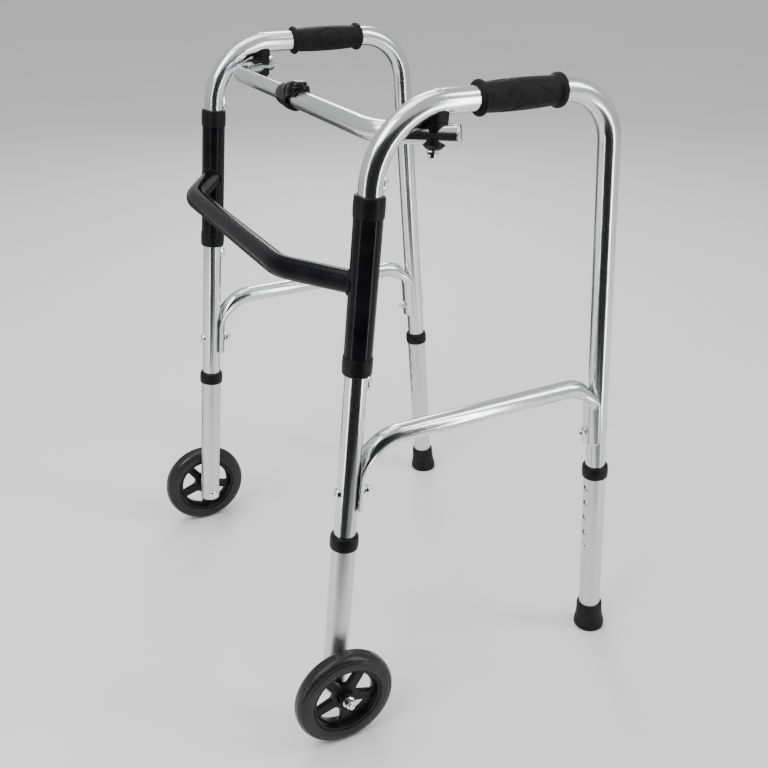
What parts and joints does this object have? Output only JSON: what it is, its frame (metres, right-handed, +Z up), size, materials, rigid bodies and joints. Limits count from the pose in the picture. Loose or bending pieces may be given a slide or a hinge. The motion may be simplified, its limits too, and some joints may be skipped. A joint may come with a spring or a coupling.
{
  "type": "folding walker",
  "caption": "Folding walking frame: side frames that swing in on sleeves, telescopic crossbar with push-button lock, height-adjustable legs, front wheels and rear rubber feet.",
  "frame": {"origin": "on the floor, in the middle of the walker's box", "axes": "+X to the user's left, -Y the way the user walks, +Z up"},
  "size_m": [0.59, 0.4836, 0.7705],
  "materials": {
    "polished_aluminium": "polished and clear anodised, with long soft reflections",
    "bright_aluminium": "mirror polished",
    "satin_aluminium": "satin anodised, finely brushed along the tube",
    "chrome": "bright chrome plate",
    "black_coat": "gloss black powder coat with a slight orange peel",
    "black_plastic": "semi-matte moulded black plastic",
    "gloss_plastic": "gloss black plastic",
    "hub_plastic": "moulded black nylon with a soft gloss",
    "grip_vinyl": "matte moulded vinyl with shallow wave grooves",
    "tyre_rubber": "solid dark smoky polyurethane with a gloss",
    "tip_rubber": "matte black rubber",
    "spring_steel": "bare spring steel"
  },
  "bodies": {
    "base": {"front_brace": "black_coat", "sleeve_bush_upper_left": "black_plastic", "sleeve_bush_lower_left": "black_plastic", "sleeve_bush_upper_right": "black_plastic", "sleeve_bush_lower_right": "black_plastic"},
    "side_left": {"side_frame_left": "polished_aluminium", "side_brace_left": "bright_aluminium", "grip_left": "grip_vinyl", "brace_bolt_front_left": "chrome", "brace_bolt_rear_left": "chrome", "saddle_frame_left": "black_plastic", "pivot_bolt_left": "chrome", "pivot_nut_left": "chrome", "leg_button_spring_front_left": "spring_steel", "leg_button_spring_rear_left": "spring_steel"},
    "crossbar_left": {"crossbar_outer_tube": "polished_aluminium", "crossbar_plug_left": "bright_aluminium", "saddle_bar_left": "black_plastic", "saddle_lower_left": "black_plastic", "lock_housing": "black_plastic", "lock_spring": "spring_steel"},
    "front_leg_left": {"leg_extension_front_left": "satin_aluminium", "leg_collar_front_left": "black_plastic", "axle_bolt_left": "chrome", "axle_spacer_left": "black_plastic", "axle_nut_left": "chrome"},
    "rear_leg_left": {"leg_extension_rear_left": "satin_aluminium", "leg_collar_rear_left": "black_plastic", "rear_tip_left": "tip_rubber"},
    "wheel_left": {"wheel_hub_left": "hub_plastic", "wheel_tyre_left": "tyre_rubber"},
    "leg_button_front_left": {"leg_button_front_left": "chrome"},
    "leg_button_rear_left": {"leg_button_rear_left": "chrome"},
    "side_right": {"side_frame_right": "polished_aluminium", "side_brace_right": "bright_aluminium", "grip_right": "grip_vinyl", "brace_bolt_front_right": "chrome", "brace_bolt_rear_right": "chrome", "saddle_frame_right": "black_plastic", "pivot_bolt_right": "chrome", "pivot_nut_right": "chrome", "leg_button_spring_front_right": "spring_steel", "leg_button_spring_rear_right": "spring_steel"},
    "crossbar_right": {"crossbar_inner_tube": "polished_aluminium", "crossbar_plug_right": "bright_aluminium", "saddle_bar_right": "black_plastic", "saddle_lower_right": "black_plastic"},
    "front_leg_right": {"leg_extension_front_right": "satin_aluminium", "leg_collar_front_right": "black_plastic", "axle_bolt_right": "chrome", "axle_spacer_right": "black_plastic", "axle_nut_right": "chrome"},
    "rear_leg_right": {"leg_extension_rear_right": "satin_aluminium", "leg_collar_rear_right": "black_plastic", "rear_tip_right": "tip_rubber"},
    "wheel_right": {"wheel_hub_right": "hub_plastic", "wheel_tyre_right": "tyre_rubber"},
    "leg_button_front_right": {"leg_button_front_right": "chrome"},
    "leg_button_rear_right": {"leg_button_rear_right": "chrome"},
    "lock_button": {"lock_button": "gloss_plastic"}
  },
  "joints": [
    {"name": "left_fold", "type": "hinge", "parent": "base", "child": "side_left", "pos_m": [0.242, -0.13209, 0.576], "axis": [0, 0.0898, 0.996], "range_deg": [0, 33]},
    {"name": "right_fold", "type": "hinge", "parent": "base", "child": "side_right", "pos_m": [-0.242, -0.13209, 0.576], "axis": [0, 0.0898, 0.996], "range_deg": [-33, 0]},
    {"name": "crossbar_left_pivot", "type": "hinge", "parent": "side_left", "child": "crossbar_left", "pos_m": [0.242, -0.05178, 0.7215], "axis": [0, 0.0898, 0.996], "range_deg": [-33, 0]},
    {"name": "crossbar_right_pivot", "type": "hinge", "parent": "side_right", "child": "crossbar_right", "pos_m": [-0.242, -0.05178, 0.7215], "axis": [0, 0.0898, 0.996], "range_deg": [0, 33]},
    {"name": "front_leg_left_height", "type": "slide", "parent": "side_left", "child": "front_leg_left", "axis": [0, 0.0898, 0.996], "range_m": [-0.096, 0], "deforming": ["leg_button_front_left"]},
    {"name": "front_leg_left_button", "type": "slide", "parent": "side_left", "child": "leg_button_front_left", "axis": [0, -0.996, 0.0898], "range_m": [0, 0.0046], "stiffness_N_per_m": 1200, "springref_m": -0.002, "deforming": ["leg_button_spring_front_left"]},
    {"name": "rear_leg_left_height", "type": "slide", "parent": "side_left", "child": "rear_leg_left", "axis": [0, -0.0736, 0.9973], "range_m": [-0.096, 0], "deforming": ["leg_button_rear_left"]},
    {"name": "rear_leg_left_button", "type": "slide", "parent": "side_left", "child": "leg_button_rear_left", "axis": [0, 0.9973, 0.0736], "range_m": [0, 0.0046], "stiffness_N_per_m": 1200, "springref_m": -0.002, "deforming": ["leg_button_spring_rear_left"]},
    {"name": "front_leg_right_height", "type": "slide", "parent": "side_right", "child": "front_leg_right", "axis": [0, 0.0898, 0.996], "range_m": [-0.096, 0], "deforming": ["leg_button_front_right"]},
    {"name": "front_leg_right_button", "type": "slide", "parent": "side_right", "child": "leg_button_front_right", "axis": [0, -0.996, 0.0898], "range_m": [0, 0.0046], "stiffness_N_per_m": 1200, "springref_m": -0.002, "deforming": ["leg_button_spring_front_right"]},
    {"name": "rear_leg_right_height", "type": "slide", "parent": "side_right", "child": "rear_leg_right", "axis": [0, -0.0736, 0.9973], "range_m": [-0.096, 0], "deforming": ["leg_button_rear_right"]},
    {"name": "rear_leg_right_button", "type": "slide", "parent": "side_right", "child": "leg_button_rear_right", "axis": [0, 0.9973, 0.0736], "range_m": [0, 0.0046], "stiffness_N_per_m": 1200, "springref_m": -0.002, "deforming": ["leg_button_spring_rear_right"]},
    {"name": "wheel_left_spin", "type": "hinge", "parent": "front_leg_left", "child": "wheel_left", "pos_m": [0.2717, -0.17828, 0.0635], "axis": [1, 0, 0], "continuous": true},
    {"name": "wheel_right_spin", "type": "hinge", "parent": "front_leg_right", "child": "wheel_right", "pos_m": [-0.2717, -0.17828, 0.0635], "axis": [1, 0, 0], "continuous": true},
    {"name": "lock_button_press", "type": "slide", "parent": "crossbar_left", "child": "lock_button", "axis": [0, 0, -1], "range_m": [0, 0.002], "stiffness_N_per_m": 1200, "springref_m": -0.002, "deforming": ["lock_spring"]}
  ],
  "couplings": [
    {"joint": "right_fold", "follows": "left_fold", "ratio": -1},
    {"joint": "crossbar_left_pivot", "follows": "left_fold", "ratio": -1},
    {"joint": "crossbar_right_pivot", "follows": "left_fold", "ratio": 1}
  ]
}
